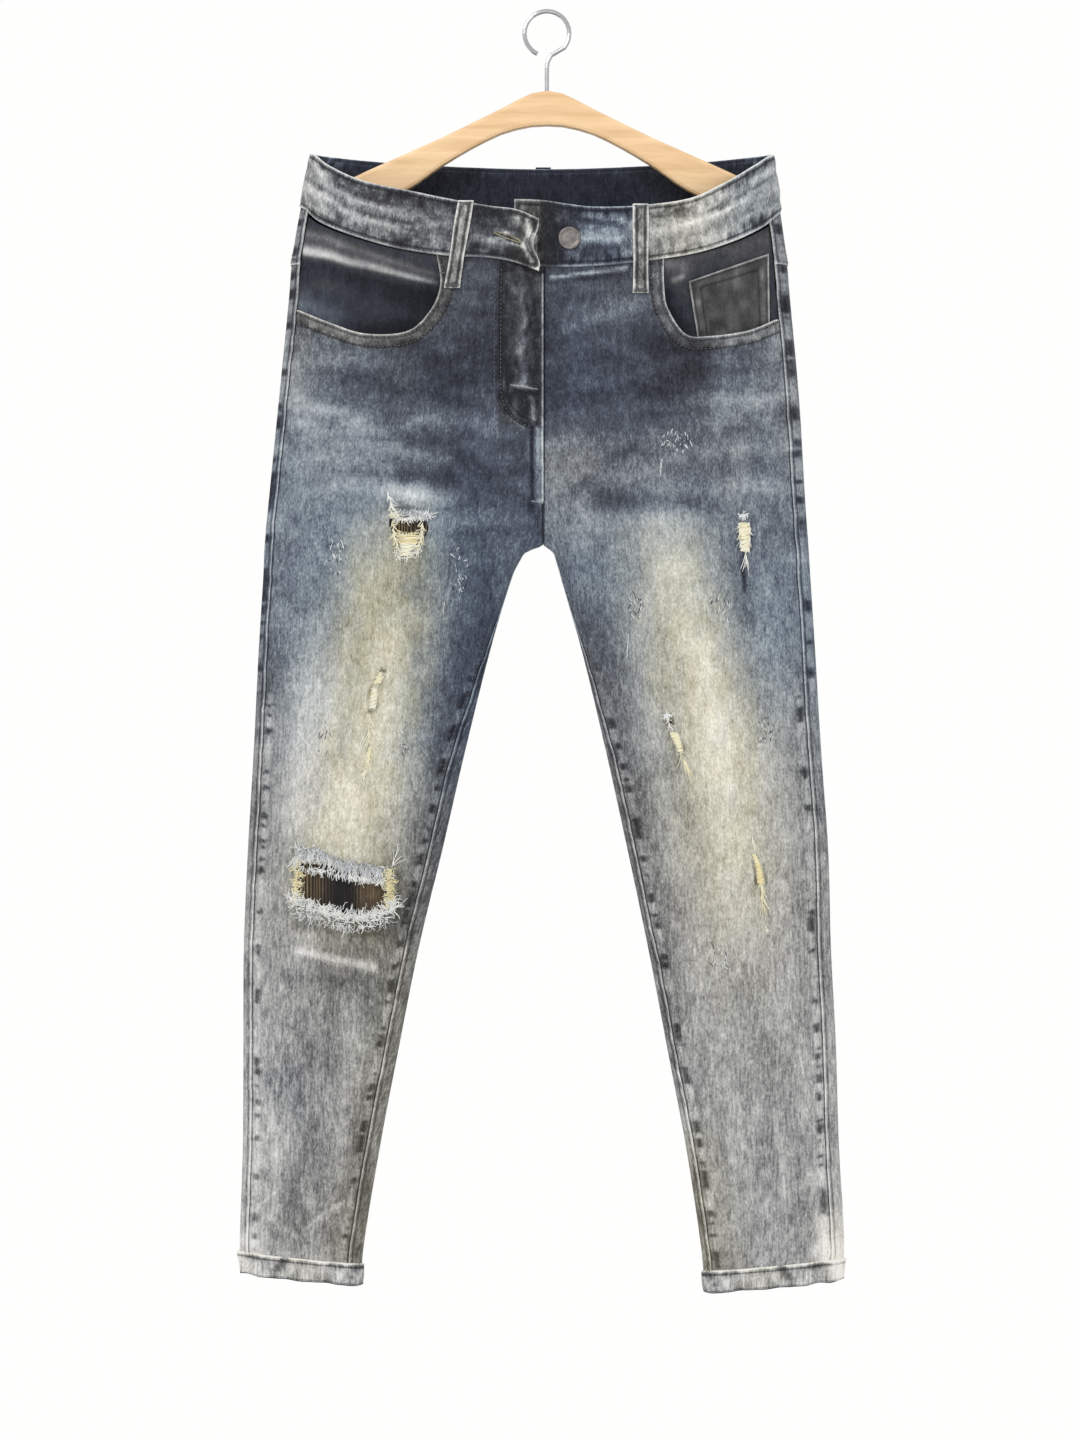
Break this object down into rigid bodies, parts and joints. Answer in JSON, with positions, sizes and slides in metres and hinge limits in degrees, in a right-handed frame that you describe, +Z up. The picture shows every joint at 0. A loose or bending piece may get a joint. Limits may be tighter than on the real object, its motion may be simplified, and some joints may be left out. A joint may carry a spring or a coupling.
{
  "type": "ripped jeans on a wooden hanger",
  "caption": "Slim ripped jeans with faded thighs and a knee hole, waist button open, hung by the waist on a plain wooden hanger with a metal hook.",
  "frame": {"origin": "inside top of the hanger's hook, where a rail or peg holds it", "axes": "+Z up, the front of the jeans faces -Y, the wearer's right leg is on the -X side"},
  "size_m": [0.4992, 0.0859, 1.0586],
  "materials": {
    "denim": "washed blue-grey stretch denim, faded to cream on the thighs, matt",
    "dark_denim": "dark pocket facing denim with a soft sheen on its folds",
    "backing_cloth": "dark brown ribbed patch cloth",
    "button_metal": "dull brown-grey antiqued metal",
    "zip_metal": "dull zip teeth on tape",
    "hanger_wood": "pale smooth lacquered wood",
    "hook_metal": "bright plated wire"
  },
  "bodies": {
    "root": {"waistband": "denim", "front_right": "denim", "front_left": "denim", "back_right": "denim", "back_left": "denim", "yoke_right": "denim", "yoke_left": "denim", "back_pocket_right": "denim", "back_pocket_left": "denim", "hem_right": "denim", "hem_left": "denim", "loop_front_right": "denim", "loop_front_left": "denim", "loop_back_right": "denim", "loop_back_centre": "denim", "loop_back_left": "denim", "facing_right": "dark_denim", "facing_left": "dark_denim", "coin_pocket": "dark_denim", "fly_shield": "denim", "fly_zip": "zip_metal", "knee_backing": "backing_cloth", "thigh_backing": "backing_cloth", "button": "button_metal", "hanger_board": "hanger_wood", "hanger_hook": "hook_metal"}
  },
  "joints": []
}
